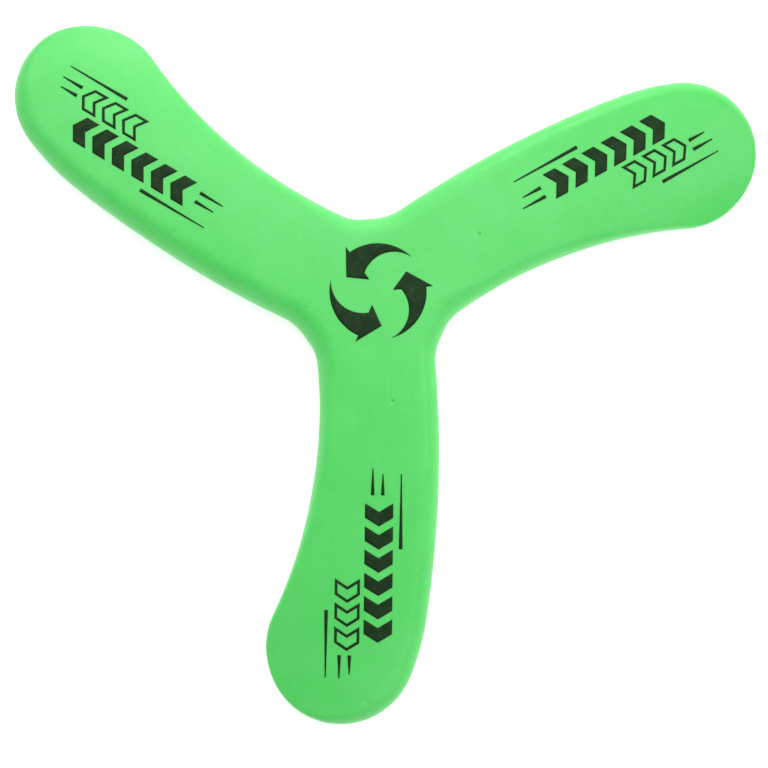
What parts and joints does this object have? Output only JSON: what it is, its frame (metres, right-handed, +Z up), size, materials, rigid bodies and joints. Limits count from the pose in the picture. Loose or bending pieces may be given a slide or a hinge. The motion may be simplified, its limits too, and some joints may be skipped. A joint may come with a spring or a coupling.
{
  "type": "boomerang",
  "caption": "Soft foam throwing toy with swept, round-tipped blades joined at a flat hub, cambered on top and flat underneath, with dark printed marks on the upper side.",
  "frame": {"origin": "middle of the hub on the flat underside", "axes": "+Z up out of the printed side, +X along blade 1; the leading edge of blade 1 faces +Y"},
  "size_m": [0.2608, 0.2899, 0.0141],
  "materials": {
    "foam": "open cellular foam, matt",
    "skin": "smooth satin moulded skin",
    "ink": "matt printed film"
  },
  "bodies": {
    "root": {"foam_core": "foam", "upper_skin": "skin", "lower_skin": "skin", "hub_print": "ink", "blade_1_print": "ink", "blade_2_print": "ink", "blade_3_print": "ink"}
  },
  "joints": []
}
